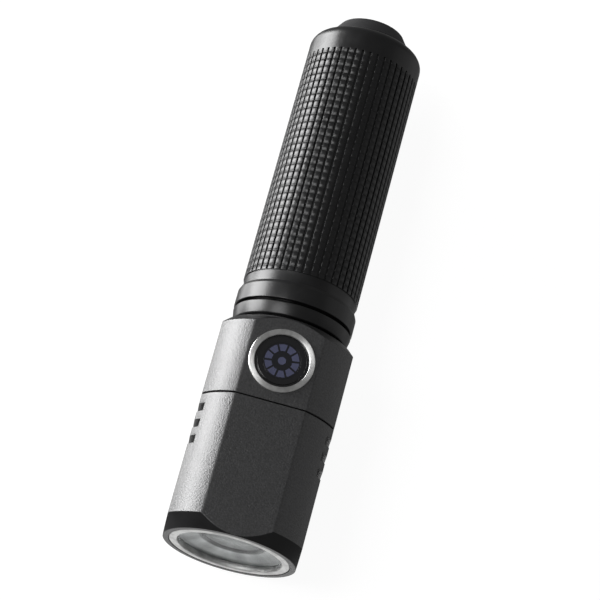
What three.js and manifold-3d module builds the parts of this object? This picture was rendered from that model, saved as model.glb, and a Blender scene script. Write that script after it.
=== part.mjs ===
// Tactical flashlight with a focusing head, a side button with a charge gauge and a tail switch.
// Millimetres, +Z up. The lamp lies on the flat opposite its side button: the beam leaves along -Y,
// the tail points along +Y, and the origin is under the middle of its length.
// Every piece is drawn about the lamp's own axis (local Y), at its distance from the front rim.
import * as THREE from "three";
import { mergeVertices } from "three/addons/utils/BufferGeometryUtils.js";
import Module from "manifold-3d";

const wasm = await Module();
wasm.setup();

// ---------- driving sizes ----------
const play = 0.3; // gap between pieces that slide or turn on each other
const seat = 0.1; // gap between pieces that are pressed, screwed or glued together
const sides = 48; // facets of the large outer pieces
const innerSides = 32; // facets of the pieces inside them
const fewSides = 24; // facets of the small ones

// battery cell and the bore it lies in
const cellDiameter = 18.6;
const cellLength = 65;
const cellNubRadius = 3.2;
const cellNubHeight = 1;
const cellPlay = 0.5;

// battery tube
const tubeWall = 2.2;
const threadPitch = 1;
const threadTurns = 6;
const threadPlay = 0.35;
const collarRise = 0.4;
const collarLength = 4;
const waistDepth = 0.25;
const waistLength = 2.35;
const plainBandLength = 3.9;
const tailRoundRadial = 2.05;
const tailRoundAxial = 2.35;
const grooveCount = 48;
const grooveWidth = 0.44;
const grooveDepth = 0.3;

// head: a round bar with four flats, split across into a front sleeve and a switch housing
const pocketFloor = 0.4;
const cornerRise = 1.78;
const sleeveLength = 27.9;
const housingLength = 17.35;
const rimChamferLength = 2.7;
const rimChamferRise = 1.84;
const seamGap = 0.3;
const slotDepth = 1.1;
const slotWidth = 1.6;
const slotPitch = 3.44;
const slotCount = 3;
const slotFloorWall = 0.91;
const lastSlotFromSeam = 2.95;

// neck between the head and the tube
const nippleWall = 0.8;
const neckGapLength = 1.35;
const neckRingLength = 2.7;
const neckRingSmallDrop = 0.65;
const neckRingConeLength = 2.1;
const collarGap = 0.6;

// bezel, window and optic
const rimRecess = 0.05;
const rimWall = 1.08;
const bezelLipWidth = 1.69;
const bezelLipThickness = 0.6;
const bezelSkirtWall = 0.42;
const bezelLength = 3.5;
const windowThickness = 0.8;
const sealSection = 0.75;
const opticFlangeWidth = 0.8;
const opticDishRadius = 6.63;
const opticDishDepth = 1.95;
const opticDomeDepth = 1.35;
const opticConeDepth = 1.55;
const opticFlangeThickness = 2.7;
const opticLength = 10.95;
const opticRearRadius = 4.2;
const opticPocketRadius = 2.9;
const opticPocketDepth = 4.4;
const holderWall = 1;
const holderFlangeLength = 2;

// focusing barrel and the lamp board on it
const barrelCollarLength = 5.6;
const barrelNeckDrop = 0.65;
const focusSealFromFront = 0.8;
const focusSealGroove = 1.6;
const focusSealDepth = 1.1;
const lipLength = 0.8;
const shelfThickness = 3.5;
const barrelSpigotWall = 0.9;
const barrelSpigotLength = 5;
const ledBoardThickness = 1.2;
const ledPackage = 5;
const ledPackageHeight = 0.7;
const ledDomeRadius = 2.1;
const ledDomeHeight = 1.3;
const lampScrewRadius = 0.9;
const lampScrewHeadRadius = 1.5;
const lampScrewHeadHeight = 1;
const lampScrewSlot = 0.35;
const lampScrewFromEdge = 1.85;
const wireRadius = 0.4;
const wireFromWall = 0.6;
const centringRingWall = 0.45;
const centringRingThickness = 0.8;
const guidePinRadius = 0.6;
const keyDepth = 0.85;

// driver
const driverBoardThickness = 1.2;
const driverFromBarrelEnd = 1.1;
const driverChipWidth = 5;
const driverChipHeight = 1.4;
const driverChipLength = 4;
const inductorRadius = 3;
const inductorHeight = 3;
const contactSpringRadius = 2.9;
const contactSpringWire = 0.35;
const contactSpringTurns = 2.5;

// side button and its gauge, drawn about the button's axis
const buttonFromSeam = 8.55;
const buttonTravel = 0.6;
const buttonRingWidth = 1.13;
const buttonRingBodyWidth = 0.73;
const buttonRingShadowGap = 0.52;
const buttonRingStand = 0.39;
const buttonRingBodyLength = 1.4;
const buttonCapRadius = 4.95;
const buttonCapFlange = 0.75; // how far the cap's foot reaches under the ring
const buttonCapStand = 0.14;
const buttonCapHeight = 0.95;
const gaugeRadius = 3.7;
const gaugeThickness = 0.25;
const gaugeSegments = 10;
const gaugeSegmentInner = 2.06;
const gaugeSegmentOuter = 3.45;
const gaugeSegmentGap = 0.4;
const gaugeDotRadius = 0.8;
const gaugeRelief = 0.1;
const switchBoardThickness = 0.6;
const tactSwitchSide = 4;
const tactSwitchHeight = 0.6;
const tactSwitchGap = 0.15;

// tail switch
const tailSpringLength = 4.5;
const tailSpringRadius = 4;
const tailSpringWire = 0.45;
const tailSpringTurns = 3.5;
const tailBoardThickness = 1.2;
const tailHolderThickness = 1.5;
const tailHolderOpening = 5.4;
const tailSwitchSide = 7;
const tailSwitchHeight = 2.2;
const tailTravel = 1.5;
const bootFlangeThickness = 1.1;
const bootFlangeRise = 0.5;
const tailLipWall = 0.7;
const tailLipLength = 1.6;
const bootSideLength = 0.9;
const bootStand = 4.2;
const bootTopRadius = 6.85;
const bootEdgeRound = 0.6;
const bootWall = 1.6;
const plungerDiscRadius = 4.4;
const plungerStemRadius = 2;
const plungerDiscThickness = 1.6;
const retainerLength = 2.1;
const retainerWall = 2.6;
const retainerNotch = 2;

// ---------- radii and stations that follow ----------
const cellRadius = cellDiameter / 2;
const boreRadius = cellRadius + cellPlay;
const tubeRadius = boreRadius + tubeWall;
const collarRadius = tubeRadius + collarRise;
const nippleRadius = boreRadius + nippleWall;
const socketRadius = nippleRadius + threadPlay;
const tactSwitchStack = 2 * play + switchBoardThickness + tactSwitchHeight + tactSwitchGap;
const buttonPocketDepth = tactSwitchStack + buttonTravel + buttonCapHeight - buttonCapStand;
const flatHeight = boreRadius + pocketFloor + buttonPocketDepth;
const cornerRadius = flatHeight + cornerRise;
const sleeveBoreRadius = flatHeight - slotDepth - slotFloorWall;
const barrelRadius = sleeveBoreRadius - play;
const barrelNeckRadius = barrelRadius - barrelNeckDrop;

const housingFront = sleeveLength + seamGap;
const housingRear = housingFront + housingLength;
const neckRingFront = housingRear + neckGapLength;
const neckRingRear = neckRingFront + neckRingLength;
const tubeFront = neckRingRear + collarGap;
const threadLength = threadPitch * threadTurns + play;
const nippleEnd = tubeFront + threadLength;
const barrelRear = housingFront + barrelSpigotLength;
const driverRear = barrelRear - driverFromBarrelEnd;
const contactFront = driverRear + play;
const cellFront = barrelRear + 2.8;
const cellRear = cellFront + cellLength;
const buttonStation = housingFront + buttonFromSeam;
const buttonRingOpening = buttonCapRadius + buttonRingShadowGap;
const buttonRingRadius = buttonRingOpening + buttonRingWidth;
const buttonRingBodyRadius = buttonRingOpening + buttonRingBodyWidth;

const tailSpringFront = cellRear + play;
const tailBoardFront = tailSpringFront + tailSpringLength + play;
const tailHolderFront = tailBoardFront + tailBoardThickness + play;
const bootFlangeFront = tailHolderFront + tailHolderThickness + tailTravel + play;
const tailLipFront = bootFlangeFront + bootFlangeThickness + play;
const tubeEnd = tailLipFront + tailLipLength;
const lampLength = tubeEnd + bootStand;

const rimRadius = cornerRadius - rimChamferRise;
const bezelRadius = rimRadius - rimWall - seat;
const bezelFront = rimRecess;
const windowFront = bezelFront + bezelLipThickness + seat;
const windowRear = windowFront + windowThickness;
const opticFront = windowRear + seat;
const opticFlangeRear = opticFront + opticFlangeThickness;
const opticRear = opticFront + opticLength;
const holderFront = opticFlangeRear + seat;
const holderSeat = holderFront + holderFlangeLength + seat;
const windowSealRadius = bezelRadius - bezelSkirtWall - seat;
const windowRadius = windowSealRadius - sealSection - seat;
const opticFlangeRadius = bezelRadius - bezelSkirtWall - play - seat;
const opticFrontRadius = opticFlangeRadius - opticFlangeWidth;
const bezelBoreRadius = bezelRadius + seat;
const bezelBoreEnd = bezelFront + bezelLength + seat;
const opticBoreRadius = bezelBoreRadius - bezelSkirtWall;
const holderRadius = opticBoreRadius - seat;

const barrelFront = opticRear + 1.6;
const barrelShoulder = barrelFront + barrelCollarLength;
const shelfFront = barrelFront + ledBoardThickness + 2 * play;
const shelfRear = shelfFront + shelfThickness;
const ledBoardFront = shelfFront - play - ledBoardThickness;
const centringHole = ledPackage + 2 * play;
const centringRingRadius = centringHole * Math.SQRT1_2 + centringRingWall;
const lampScrewCircle = centringRingRadius + play + lampScrewHeadRadius;
const ledBoardRadius = lampScrewCircle + lampScrewFromEdge;
const driverCavityRadius = boreRadius - play - barrelSpigotWall;
const wireCircle = driverCavityRadius - play - wireRadius - wireFromWall;
const wireEnd = centringRingRadius + play + wireRadius + wireFromWall;
const guidePinStation = shelfFront + shelfThickness / 2;

// ---------- shape helpers ----------

// A solid of revolution about Y. The profile is [radius, station] pairs going once round the section,
// or, for a piece without a hole, from the axis to the axis.
function turned(profile, segments = sides) {
  const touchesAxis = profile[0][0] === 0;
  const closed = touchesAxis ? profile : [...profile, profile[0]];
  const area = closed.slice(1).reduce(
    (sum, [r, y], i) => sum + closed[i][0] * y - r * closed[i][1], 0);
  const points = (area < 0 ? [...closed].reverse() : closed)
    .map(([r, y]) => new THREE.Vector2(r, y));
  return new THREE.LatheGeometry(points, segments);
}

// A plain washer or ring between two radii and two stations.
const ring = (inner, outer, from, to, segments) =>
  turned([[inner, from], [outer, from], [outer, to], [inner, to]], segments);

const disc = (radius, from, to, segments) =>
  turned([[0, from], [radius, from], [radius, to], [0, to]], segments);

// Points of a quarter of an ellipse, for a rounded edge.
function quarterRound(centreR, centreY, radial, axial, steps = 6) {
  return Array.from({ length: steps + 1 }, (_, i) => {
    const angle = (i / steps) * Math.PI / 2;
    return [centreR + radial * Math.cos(angle), centreY + axial * Math.sin(angle)];
  });
}

const box = (x, y, z, cx = 0, cy = 0, cz = 0) =>
  new THREE.BoxGeometry(x, y, z).translate(cx, cy, cz);

function solid(geometry) {
  const bare = geometry.clone();
  bare.deleteAttribute("normal");
  bare.deleteAttribute("uv");
  const merged = mergeVertices(bare, 1e-4);
  return new wasm.Manifold(new wasm.Mesh({
    numProp: 3,
    vertProperties: merged.attributes.position.array,
    triVerts: new Uint32Array(merged.index.array),
  }));
}

function geometryOf(manifold) {
  const { vertProperties, triVerts } = manifold.getMesh();
  const geometry = new THREE.BufferGeometry();
  geometry.setAttribute("position", new THREE.BufferAttribute(vertProperties, 3));
  geometry.setIndex(new THREE.BufferAttribute(triVerts, 1));
  return geometry.toNonIndexed();
}

// The first geometry with all the others cut out of it.
function cut(geometry, tools) {
  const result = tools.reduce((left, tool) => left.subtract(solid(tool)), solid(geometry));
  return geometryOf(result);
}

const joined = (geometry, others) =>
  geometryOf(others.reduce((left, other) => left.add(solid(other)), solid(geometry)));

// A round bar's outline limited by the head's four flats.
function withFlats(geometry) {
  const across = 2 * flatHeight;
  const bar = box(across, 2 * lampLength, across);
  return geometryOf(solid(geometry).intersect(solid(bar)));
}

class Helix extends THREE.Curve {
  constructor(radius, height, turns) {
    super();
    Object.assign(this, { radius, height, turns });
  }
  getPoint(t, target = new THREE.Vector3()) {
    const angle = 2 * Math.PI * this.turns * t;
    const x = this.radius * Math.cos(angle);
    return target.set(x, this.height * t, this.radius * Math.sin(angle));
  }
}

// Round wire along a curve.
function wire(curve, radius, steps, wireSides = 6) {
  const section = new THREE.Shape(Array.from({ length: wireSides }, (_, i) => {
    const angle = 2 * Math.PI * i / wireSides;
    return new THREE.Vector2(radius * Math.cos(angle), radius * Math.sin(angle));
  }));
  return new THREE.ExtrudeGeometry(section, { steps, extrudePath: curve, bevelEnabled: false });
}

// A coil spring between two stations, the wire's thickness included.
function coil(radius, wireRadiusOfCoil, turns, from, length) {
  const helix = new Helix(radius, length - 2 * wireRadiusOfCoil, turns);
  return wire(helix, wireRadiusOfCoil, Math.round(turns * 12))
    .translate(0, from + wireRadiusOfCoil, 0);
}

// ---------- finishes ----------
const blackAnodised = { color: 0x2b2b2d, metalness: 0.6, roughness: 0.42 };
const brightSteel = { color: 0xd8d8d8, metalness: 1, roughness: 0.18 };
const blackRubber = { color: 0x1c1c1d, metalness: 0, roughness: 0.85 };
const clearGlass = { color: 0xe8eef0, metalness: 0, roughness: 0.05, transparent: true, opacity: 0.4 };
const clearAcrylic = { color: 0xdfe3e6, metalness: 0, roughness: 0.08, transparent: true, opacity: 0.55 };
const silverPlastic = { color: 0xbfc2c4, metalness: 0.7, roughness: 0.25 };
const whitePlastic = { color: 0xeeeeea, metalness: 0, roughness: 0.5 };
const blackPlastic = { color: 0x151516, metalness: 0, roughness: 0.3 };
const gaugePlastic = { color: 0x565c7a, metalness: 0, roughness: 0.35 };
const boardGreen = { color: 0x1f5a35, metalness: 0, roughness: 0.45 };
const boardWhite = { color: 0xe6e6e2, metalness: 0.1, roughness: 0.5 };
const ledYellow = { color: 0xe8d25a, metalness: 0, roughness: 0.3 };
const brass = { color: 0xc9a64c, metalness: 1, roughness: 0.3 };
const springSteel = { color: 0xb9b9b6, metalness: 1, roughness: 0.3 };
const redWire = { color: 0xa82020, metalness: 0, roughness: 0.5 };
const blackWire = { color: 0x202020, metalness: 0, roughness: 0.5 };
const cellWrap = { color: 0x2d5f8f, metalness: 0.1, roughness: 0.4 };

function piece(name, geometry, finish) {
  geometry.computeVertexNormals();
  const mesh = new THREE.Mesh(geometry, new THREE.MeshStandardMaterial(finish));
  mesh.name = name;
  return mesh;
}

// ---------- front sleeve with its bezel, window and optic ----------

// The cooling slots run straight across both side flats, counted back from the seam.
function coolingSlots() {
  const slots = [];
  for (const side of [-1, 1])
    for (let i = 0; i < slotCount; i += 1) {
      const y = sleeveLength - lastSlotFromSeam - i * slotPitch;
      slots.push(box(2 * slotDepth, slotWidth, 2 * cornerRadius, side * flatHeight, y, 0));
    }
  return slots;
}

// The keyway is a groove inside one corner of the sleeve, where the wall is thickest.
function keyway() {
  const width = 2 * (guidePinRadius + play);
  const depth = keyDepth + play;
  const length = sleeveLength - lipLength - holderSeat;
  return box(width, length, depth, 0, holderSeat + length / 2, sleeveBoreRadius + keyDepth - depth / 2)
    .rotateY(Math.PI / 4);
}

function headSleeve() {
  const lipRadius = barrelNeckRadius + play;
  const lipFront = sleeveLength - lipLength;
  const bar = turned([
    [bezelBoreRadius, 0], [rimRadius, 0], [cornerRadius, rimChamferLength], [cornerRadius, sleeveLength],
    [lipRadius, sleeveLength], [lipRadius, lipFront], [sleeveBoreRadius, lipFront],
    [sleeveBoreRadius, holderSeat], [opticBoreRadius, holderSeat], [opticBoreRadius, bezelBoreEnd],
    [bezelBoreRadius, bezelBoreEnd],
  ]);
  return piece("head_sleeve", cut(withFlats(bar), [...coolingSlots(), keyway()]), blackAnodised);
}

function bezelRing() {
  const lip = bezelRadius - bezelLipWidth;
  const lipRear = bezelFront + bezelLipThickness;
  const skirt = bezelRadius - bezelSkirtWall;
  const bevel = 0.2;
  return piece("bezel_ring", turned([
    [lip + bevel, bezelFront], [bezelRadius - bevel, bezelFront], [bezelRadius, bezelFront + bevel],
    [bezelRadius, bezelFront + bezelLength], [skirt, bezelFront + bezelLength], [skirt, lipRear],
    [lip, lipRear], [lip, bezelFront + bevel],
  ]), brightSteel);
}

const frontWindow = () =>
  piece("front_window", disc(windowRadius, windowFront, windowRear, innerSides), clearGlass);

const windowSeal = () => piece("window_oring",
  oRing(windowRadius + seat, windowSealRadius, windowFront, windowFront + sealSection), blackRubber);

// A seal of octagonal section between two radii and two stations.
function oRing(inner, outer, from, to) {
  const r = 0.29 * (outer - inner);
  const y = 0.29 * (to - from);
  return turned([
    [inner + r, from], [outer - r, from], [outer, from + y], [outer, to - y],
    [outer - r, to], [inner + r, to], [inner, to - y], [inner, from + y],
  ], innerSides);
}

// Clear collimator: a shallow funnel round a domed lens in front, a cone that reflects inside, a
// pocket for the LED.
function collimatorOptic() {
  const dishFloor = opticFront + opticDishDepth;
  const domeTop = opticFront + opticDomeDepth;
  const coneRadius = opticFrontRadius - 0.2;
  const pocketTop = opticRear - opticPocketDepth;
  return piece("collimator_optic", turned([
    [0, domeTop], [2.4, domeTop + 0.09], [4.4, domeTop + 0.29], [opticDishRadius - 0.3, dishFloor],
    [opticDishRadius, opticFront + opticConeDepth], [opticFrontRadius, opticFront],
    [opticFlangeRadius, opticFront], [opticFlangeRadius, opticFlangeRear],
    [coneRadius, opticFlangeRear],
    [0.5 * (coneRadius + opticRearRadius) + 0.9, 0.5 * (opticFlangeRear + opticRear)],
    [opticRearRadius, opticRear], [opticPocketRadius, opticRear],
    [opticPocketRadius - 0.3, pocketTop], [0, pocketTop - 0.7],
  ], innerSides), clearAcrylic);
}

function opticHolder() {
  const coneRadius = opticFrontRadius - 0.2 + play;
  const middle = 0.5 * (opticFlangeRear + opticRear);
  const middleRadius = 0.5 * (opticFrontRadius - 0.2 + opticRearRadius) + 0.9 + play;
  const flangeRear = holderFront + holderFlangeLength;
  const shellFront = coneRadius + 0.35;
  return piece("optic_holder", turned([
    [coneRadius, holderFront], [holderRadius, holderFront], [holderRadius, flangeRear],
    [shellFront, flangeRear], [middleRadius + holderWall, middle],
    [opticRearRadius + play + holderWall, opticRear], [opticRearRadius + play, opticRear],
    [middleRadius, middle],
  ], innerSides), silverPlastic);
}

// ---------- focusing barrel with the lamp board ----------

const shelfHole = (x, z, radius) =>
  disc(radius, barrelFront - 1, shelfRear + 1, 12).translate(x, 0, z);

function innerBarrel() {
  const spigotRadius = boreRadius - play;
  const pocket = ledBoardRadius + play;
  const grooveFloor = barrelRadius - focusSealDepth;
  const grooveFrom = barrelFront + focusSealFromFront;
  const grooveTo = grooveFrom + focusSealGroove;
  const body = turned([
    [0, shelfFront], [pocket, shelfFront], [pocket, barrelFront], [barrelRadius, barrelFront],
    [barrelRadius, grooveFrom], [grooveFloor, grooveFrom], [grooveFloor, grooveTo],
    [barrelRadius, grooveTo], [barrelRadius, barrelShoulder], [barrelNeckRadius, barrelShoulder],
    [barrelNeckRadius, housingFront - seat], [spigotRadius, housingFront - seat],
    [spigotRadius, barrelRear], [driverCavityRadius, barrelRear],
    [driverCavityRadius, shelfRear], [0, shelfRear],
  ], innerSides);
  const pinHole = disc(guidePinRadius + 0.15, barrelRadius - 2.5, barrelRadius + 1, 12)
    .rotateX(Math.PI / 2).translate(0, guidePinStation, 0).rotateY(Math.PI / 4);
  const screwHole = lampScrewRadius + play;
  return piece("inner_barrel", cut(body, [
    shelfHole(0, lampScrewCircle, screwHole), shelfHole(0, -lampScrewCircle, screwHole),
    shelfHole(wireCircle, 0, wireRadius + play), shelfHole(-wireCircle, 0, wireRadius + play),
    pinHole,
  ]), blackAnodised);
}

function focusSeal() {
  const clearance = 0.25;
  const from = barrelFront + focusSealFromFront + clearance;
  const inner = barrelRadius - focusSealDepth + 0.1;
  return piece("focus_oring",
    oRing(inner, barrelRadius + 0.15, from, from + focusSealGroove - 2 * clearance), blackRubber);
}

// The pin stands out of the barrel into the sleeve's keyway, so the flats stay in line.
function guidePin() {
  const geometry = disc(guidePinRadius, barrelRadius - 2.3, barrelRadius + 0.85, 12)
    .rotateX(Math.PI / 2).translate(0, guidePinStation, 0).rotateY(Math.PI / 4);
  return piece("guide_pin", geometry, springSteel);
}

function ledBoard() {
  const rear = ledBoardFront + ledBoardThickness;
  const plate = disc(ledBoardRadius, ledBoardFront, rear, fewSides);
  const screwHole = lampScrewRadius + play;
  const middle = ledBoardFront + ledBoardThickness / 2;
  const notchInner = wireCircle - wireRadius - play;
  const wireNotch = (side) => box(ledBoardRadius, 2 * ledBoardThickness, 2 * (wireRadius + play),
    side * (notchInner + ledBoardRadius / 2), middle, 0);
  return piece("led_board", cut(plate, [
    shelfHole(0, lampScrewCircle, screwHole), shelfHole(0, -lampScrewCircle, screwHole),
    wireNotch(-1), wireNotch(1),
  ]), boardWhite);
}

function ledEmitter() {
  const rear = ledBoardFront - play;
  const front = rear - ledPackageHeight;
  const base = box(ledPackage, ledPackageHeight, ledPackage, 0, (front + rear) / 2, 0);
  const dome = quarterRound(0, 0, ledDomeRadius, ledDomeHeight, 5)
    .map(([r, y]) => [r, front - y]);
  dome[5][0] = 0;
  const lens = turned([[0, rear - 0.1], [ledDomeRadius, rear - 0.1], ...dome], fewSides);
  return piece("led_emitter", joined(base, [lens]), ledYellow);
}

function ledCentringRing() {
  const rear = ledBoardFront - play;
  const washer = disc(centringRingRadius, rear - centringRingThickness, rear, fewSides);
  const square = box(centringHole, 4, centringHole, 0, rear, 0);
  return piece("led_centring_ring", cut(washer, [square]), whitePlastic);
}

function lampScrew(number, side) {
  const underHead = ledBoardFront - play;
  const top = underHead - lampScrewHeadHeight;
  const tip = shelfRear - 1;
  const body = turned([
    [0, top], [lampScrewHeadRadius - 0.2, top], [lampScrewHeadRadius, top + 0.25],
    [lampScrewHeadRadius, underHead], [lampScrewRadius, underHead], [lampScrewRadius, tip - 0.5],
    [lampScrewRadius - 0.4, tip], [0, tip],
  ], 16);
  const slot = box(lampScrewHeadRadius, 2 * lampScrewSlot, lampScrewSlot, 0, top, 0);
  const geometry = cut(body, [slot]).translate(0, 0, side * lampScrewCircle);
  return piece(`led_board_screw_${number}`, geometry, springSteel);
}

// A lead from the driver, through the shelf, over to the LED board's edge.
function ledWire(name, side, finish) {
  const from = driverRear - driverBoardThickness - play;
  const over = ledBoardFront - play - wireRadius;
  const route = new THREE.CatmullRomCurve3([
    [wireCircle, from], [wireCircle, shelfRear + 2], [wireCircle, shelfFront],
    [wireCircle, over + 1.2], [0.7 * wireCircle + 0.3 * wireEnd, over + 0.1], [wireEnd, over],
  ].map(([x, y]) => new THREE.Vector3(side * x, y, 0)));
  return piece(name, wire(route, wireRadius, 16), finish);
}

// ---------- driver ----------

function driverBoard() {
  const radius = driverCavityRadius - play;
  const front = driverRear - driverBoardThickness;
  const chip = box(driverChipWidth, driverChipHeight, driverChipLength,
    -1.2, front + 0.1 - driverChipHeight / 2, 3.4);
  const plate = disc(radius, front, driverRear, fewSides);
  return piece("driver_board", joined(plate, [chip]), boardGreen);
}

function driverInductor() {
  const rear = driverRear - driverBoardThickness - play;
  const waist = inductorRadius - 0.6;
  const front = rear - inductorHeight;
  return piece("driver_inductor", turned([
    [0, front], [inductorRadius, front], [inductorRadius, front + 0.7], [waist, front + 0.7],
    [waist, rear - 0.7], [inductorRadius, rear - 0.7], [inductorRadius, rear], [0, rear],
  ], 20).translate(1.5, 0, -2.6), blackPlastic);
}

function contactSpring() {
  const length = cellFront - play - contactFront;
  return piece("contact_spring",
    coil(contactSpringRadius, contactSpringWire, contactSpringTurns, contactFront, length), brass);
}

// ---------- switch housing and neck ----------

const aboutButton = (geometry) => geometry.rotateX(Math.PI / 2).translate(0, buttonStation, 0);

function switchHousing() {
  const chamfer = cornerRise;
  const sealFloor = nippleRadius - 0.45;
  const sealFrom = tubeFront + 1;
  const sealTo = sealFrom + 1.3;
  const bar = turned([
    [boreRadius, housingFront], [cornerRadius, housingFront], [cornerRadius, housingRear - chamfer],
    [flatHeight, housingRear], [nippleRadius, housingRear], [nippleRadius, sealFrom],
    [sealFloor, sealFrom], [sealFloor, sealTo], [nippleRadius, sealTo],
    [nippleRadius, nippleEnd - 0.3], [nippleRadius - 0.3, nippleEnd], [boreRadius, nippleEnd],
  ]);
  const pocket = aboutButton(disc(buttonRingBodyRadius + 0.15, boreRadius + pocketFloor,
    cornerRadius + 1, innerSides));
  const wireHole = aboutButton(disc(1, boreRadius - 1, cornerRadius, 12)).translate(0, 3.5, 0);
  return piece("switch_housing", cut(withFlats(bar), [pocket, wireHole]), blackAnodised);
}

const neckSeal = () => piece("neck_oring",
  oRing(nippleRadius + play, nippleRadius + 1.1, housingRear + play, neckRingFront - play),
  blackRubber);

function neckRing() {
  const inner = nippleRadius + threadPlay;
  const small = collarRadius - neckRingSmallDrop;
  const round = 0.3;
  return piece("neck_ring", turned([
    [inner, neckRingFront], [small - round, neckRingFront], [small, neckRingFront + round],
    [small, neckRingRear - neckRingConeLength - 0.15], [collarRadius, neckRingRear - 0.15],
    [collarRadius, neckRingRear], [inner, neckRingRear],
  ]), blackAnodised);
}

const tubeSeal = () => piece("tube_oring",
  oRing(nippleRadius - 0.3, nippleRadius + 0.2, tubeFront + 1.2, tubeFront + 2.1), blackRubber);

// ---------- side button ----------

function buttonRing() {
  const under = flatHeight + 0.05;
  const top = flatHeight + buttonRingStand;
  const lipUnder = flatHeight - 0.16;
  const bodyInner = buttonRingBodyRadius - 0.3;
  const bevel = 0.15;
  return piece("button_bezel", aboutButton(turned([
    [buttonRingOpening, lipUnder], [buttonRingOpening, top - bevel],
    [buttonRingOpening + bevel, top], [buttonRingRadius - bevel, top],
    [buttonRingRadius, top - bevel], [buttonRingRadius, under], [buttonRingBodyRadius, under],
    [buttonRingBodyRadius, under - buttonRingBodyLength],
    [bodyInner, under - buttonRingBodyLength], [bodyInner, lipUnder],
  ], innerSides)), brightSteel);
}

function buttonCap() {
  const top = flatHeight + buttonCapStand;
  const bottom = top - buttonCapHeight;
  const recess = top - gaugeThickness - gaugeRelief - seat;
  const flangeTop = flatHeight - 0.16 - play;
  const body = turned([
    [0, bottom], [buttonCapRadius + buttonCapFlange, bottom],
    [buttonCapRadius + buttonCapFlange, flangeTop], [buttonCapRadius, flangeTop],
    [buttonCapRadius, top - 0.15], [buttonCapRadius - 0.15, top], [gaugeRadius + 0.15, top],
    [gaugeRadius + 0.15, recess], [0, recess],
  ], innerSides);
  return piece("button_cap", aboutButton(body), blackPlastic);
}

// One gauge bar: a sector of a ring with straight gaps to its neighbours.
function gaugeBar(index) {
  const middle = (index + 0.75) * 2 * Math.PI / gaugeSegments;
  const halfPitch = Math.PI / gaugeSegments;
  const arc = (radius, steps) => {
    const half = halfPitch - gaugeSegmentGap / 2 / radius;
    return Array.from({ length: steps + 1 }, (_, i) => {
      const angle = middle - half + 2 * half * i / steps;
      return new THREE.Vector2(radius * Math.cos(angle), radius * Math.sin(angle));
    });
  };
  const outline = new THREE.Shape([
    ...arc(gaugeSegmentOuter, 3), ...arc(gaugeSegmentInner, 2).reverse(),
  ]);
  const depth = gaugeThickness / 2 + gaugeRelief;
  return new THREE.ExtrudeGeometry(outline, { depth, bevelEnabled: false });
}

function gaugeDisplay() {
  const top = flatHeight + buttonCapStand;
  const plateTop = top - gaugeRelief;
  const plate = disc(gaugeRadius, plateTop - gaugeThickness, plateTop, innerSides);
  const dot = disc(gaugeDotRadius, plateTop - gaugeThickness / 2, top, 12);
  const bars = Array.from({ length: gaugeSegments }, (_, i) =>
    gaugeBar(i).translate(0, buttonStation, plateTop - gaugeThickness / 2));
  return piece("gauge_display",
    joined(aboutButton(plate), [aboutButton(dot), ...bars]), gaugePlastic);
}

function switchBoard() {
  const bottom = boreRadius + pocketFloor + play;
  const radius = buttonRingBodyRadius - 0.45;
  return piece("switch_board",
    aboutButton(disc(radius, bottom, bottom + switchBoardThickness, fewSides)), boardGreen);
}

function tactSwitch() {
  const bottom = boreRadius + pocketFloor + 2 * play + switchBoardThickness;
  const caseHeight = tactSwitchHeight - 0.2;
  const side = tactSwitchSide;
  const body = box(side, side, caseHeight, 0, buttonStation, bottom + caseHeight / 2);
  const dome = aboutButton(disc(1.2, bottom, bottom + tactSwitchHeight, 16));
  return piece("tact_switch", joined(body, [dome]), springSteel);
}

// ---------- battery cell ----------

function batteryCell() {
  const shoulder = cellFront + cellNubHeight;
  const edge = 0.5;
  return piece("battery_cell", turned([
    [0, cellFront], [cellNubRadius, cellFront], [cellNubRadius, shoulder],
    [cellRadius - edge, shoulder], [cellRadius, shoulder + edge], [cellRadius, cellRear - edge],
    [cellRadius - edge, cellRear], [0, cellRear],
  ], innerSides), cellWrap);
}

const cellInsulator = () => piece("cell_insulator",
  ring(cellNubRadius + play, cellRadius - 0.9, cellFront + cellNubHeight - 0.4,
    cellFront + cellNubHeight - seat, fewSides), whitePlastic);

// ---------- battery tube and tail switch ----------

// The grip's lengthwise grooves; the fine ring grooves across them are left to the finish.
function gripGrooves(from, to) {
  const depth = 2 * grooveDepth;
  return Array.from({ length: grooveCount }, (_, i) =>
    box(grooveWidth, to - from, depth, 0, (from + to) / 2, tubeRadius)
      .rotateY((i + 0.5) * 2 * Math.PI / grooveCount));
}

function batteryTube() {
  const collarRear = tubeFront + collarLength;
  const waist = tubeRadius - waistDepth;
  const gripFrom = collarRear + waistLength;
  const gripTo = tubeEnd - tailRoundAxial - plainBandLength + 0.4;
  const lip = boreRadius - tailLipWall;
  const body = turned([
    [socketRadius, tubeFront], [collarRadius - 0.2, tubeFront], [collarRadius, tubeFront + 0.2],
    [collarRadius, collarRear - 0.75], [collarRadius - 0.25, collarRear - 0.1],
    [waist, collarRear], [waist, gripFrom - 0.1], [tubeRadius, gripFrom + 0.1],
    ...quarterRound(tubeRadius - tailRoundRadial, tubeEnd - tailRoundAxial,
      tailRoundRadial, tailRoundAxial),
    [lip, tubeEnd], [lip, tailLipFront], [boreRadius, tailLipFront],
    [boreRadius, nippleEnd + play], [socketRadius, nippleEnd + play],
  ], grooveCount);
  return piece("battery_tube", cut(body, gripGrooves(gripFrom, gripTo)), blackAnodised);
}

const tailSpring = () => piece("tail_spring",
  coil(tailSpringRadius, tailSpringWire, tailSpringTurns, tailSpringFront, tailSpringLength),
  springSteel);

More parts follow.
